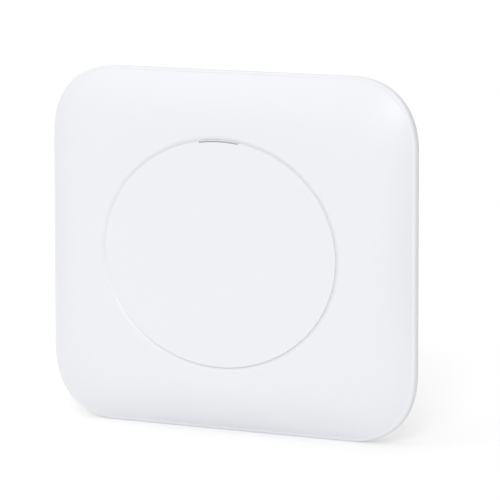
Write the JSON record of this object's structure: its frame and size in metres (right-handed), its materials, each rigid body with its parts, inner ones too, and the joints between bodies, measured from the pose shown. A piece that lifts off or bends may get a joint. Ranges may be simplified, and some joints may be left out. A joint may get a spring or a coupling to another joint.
{
  "type": "ceiling access point",
  "caption": "Shallow white rounded-rectangle wireless access point with a moulded oval groove and light slot, on a bayonet ceiling bracket.",
  "frame": {"origin": "centre of the mounting bracket's back face, on the twist axis", "axes": "+Y out of the bracket's back, into the ceiling or wall it hangs on; the cover faces -Y; +X is the longer side, to the right as one faces the cover; +Z towards the edge with the light slot"},
  "size_m": [0.2056, 0.0371, 0.1816],
  "materials": {
    "cover_plastic": "white moulded plastic, fine satin grain",
    "housing_plastic": "white moulded plastic, matte",
    "bracket_plastic": "light grey moulded plastic, matte",
    "light_guide_plastic": "frosted translucent plastic, unlit grey",
    "led_plastic": "clear lens over phosphor",
    "circuit_board": "green solder mask",
    "spreader_aluminium": "plain rolled sheet",
    "shield_tin": "tin-plated pressed steel",
    "black_plastic": "moulded, slightly grained",
    "pad_rubber": "soft silicone pad",
    "contact_metal": "gold-plated",
    "core_plastic": "ferrite, matt dark grey",
    "capacitor_sleeve": "shrunk blue sleeve",
    "button_plastic": "off-white moulded plastic",
    "label_film": "blank silver-grey film",
    "lead_jacket": "thin round jacket",
    "screw_steel": "zinc-plated pan head"
  },
  "bodies": {
    "bracket": {"mounting_bracket": "bracket_plastic"},
    "latch": {"latch_arm": "bracket_plastic"},
    "unit": {"rear_housing": "housing_plastic", "front_cover": "cover_plastic", "light_guide": "light_guide_plastic", "status_led": "led_plastic", "main_board": "circuit_board", "antenna_lead_left": "lead_jacket", "antenna_lead_right": "lead_jacket", "antenna_lead_upper_left": "lead_jacket", "antenna_lead_upper_right": "lead_jacket", "antenna_left": "circuit_board", "antenna_plug_left": "contact_metal", "antenna_plug_right": "contact_metal", "antenna_plug_upper_left": "contact_metal", "antenna_plug_upper_right": "contact_metal", "antenna_right": "circuit_board", "antenna_upper_left": "circuit_board", "antenna_upper_right": "circuit_board", "board_screw_1": "screw_steel", "board_screw_2": "screw_steel", "board_screw_3": "screw_steel", "board_screw_4": "screw_steel", "capacitor_1": "capacitor_sleeve", "capacitor_2": "capacitor_sleeve", "chip_processor": "black_plastic", "chip_radio_2ghz": "black_plastic", "chip_radio_5ghz": "black_plastic", "ethernet_jack_lan": "shield_tin", "ethernet_jack_poe": "shield_tin", "heat_spreader": "spreader_aluminium", "housing_screw_1": "screw_steel", "housing_screw_2": "screw_steel", "housing_screw_3": "screw_steel", "housing_screw_4": "screw_steel", "jack_contacts_lan": "contact_metal", "jack_contacts_poe": "contact_metal", "line_transformer_lan": "black_plastic", "line_transformer_poe": "black_plastic", "power_inductor": "core_plastic", "power_jack": "black_plastic", "power_jack_pin": "contact_metal", "power_transformer": "core_plastic", "rating_label": "label_film", "reset_switch": "black_plastic", "shield_processor": "shield_tin", "shield_radio_2ghz": "shield_tin", "shield_radio_5ghz": "shield_tin", "thermal_pad_processor": "pad_rubber", "thermal_pad_radio_2ghz": "pad_rubber", "thermal_pad_radio_5ghz": "pad_rubber"},
    "reset": {"reset_button": "button_plastic"}
  },
  "joints": [
    {"name": "unit_twist", "type": "hinge", "parent": "bracket", "child": "unit", "pos_m": [0, 0, 0], "axis": [0, -1, 0], "range_deg": [0, 15]},
    {"name": "latch_flex", "type": "hinge", "parent": "bracket", "child": "latch", "pos_m": [0.013, -0.00175, 0.0355], "axis": [0, 0, 1], "range_deg": [-2, 0], "stiffness_Nm_per_rad": 1},
    {"name": "reset_press", "type": "slide", "parent": "unit", "child": "reset", "axis": [0, 0, 1], "range_m": [0, 0.0005], "stiffness_N_per_m": 1500}
  ]
}
